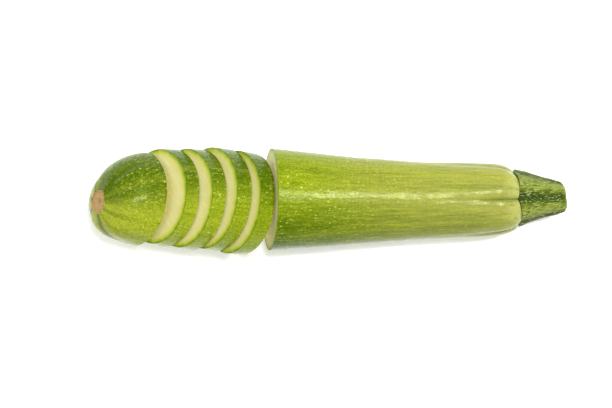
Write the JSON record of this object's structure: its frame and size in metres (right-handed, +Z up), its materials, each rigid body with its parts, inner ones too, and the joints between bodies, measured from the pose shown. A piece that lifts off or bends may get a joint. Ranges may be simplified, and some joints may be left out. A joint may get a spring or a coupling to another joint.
{
  "type": "courgette",
  "caption": "Partly sliced courgette on its side: blossom end and round slices leaning in a row on the uncut rest, which keeps its ridged stem.",
  "frame": {"origin": "on the surface it lies on, under the middle of the row's bounding box", "axes": "+X along the row from the blossom end to the stem, +Z up from the surface"},
  "size_m": [0.2312, 0.0518, 0.0481],
  "materials": {
    "green_skin": "thin waxy courgette skin, mid green with pale flecks, paler and streaked towards the stem, soft sheen",
    "cut_flesh": "moist pale yellow cut flesh with a narrow green rind ring",
    "stem_fibre": "rough dark green ridged stem with paler fibres, matt"
  },
  "bodies": {
    "root": {"blossom_end": "green_skin", "slice_1": "cut_flesh", "slice_2": "cut_flesh", "slice_3": "cut_flesh", "slice_4": "cut_flesh", "main_piece": "green_skin", "stem": "stem_fibre"}
  },
  "joints": []
}
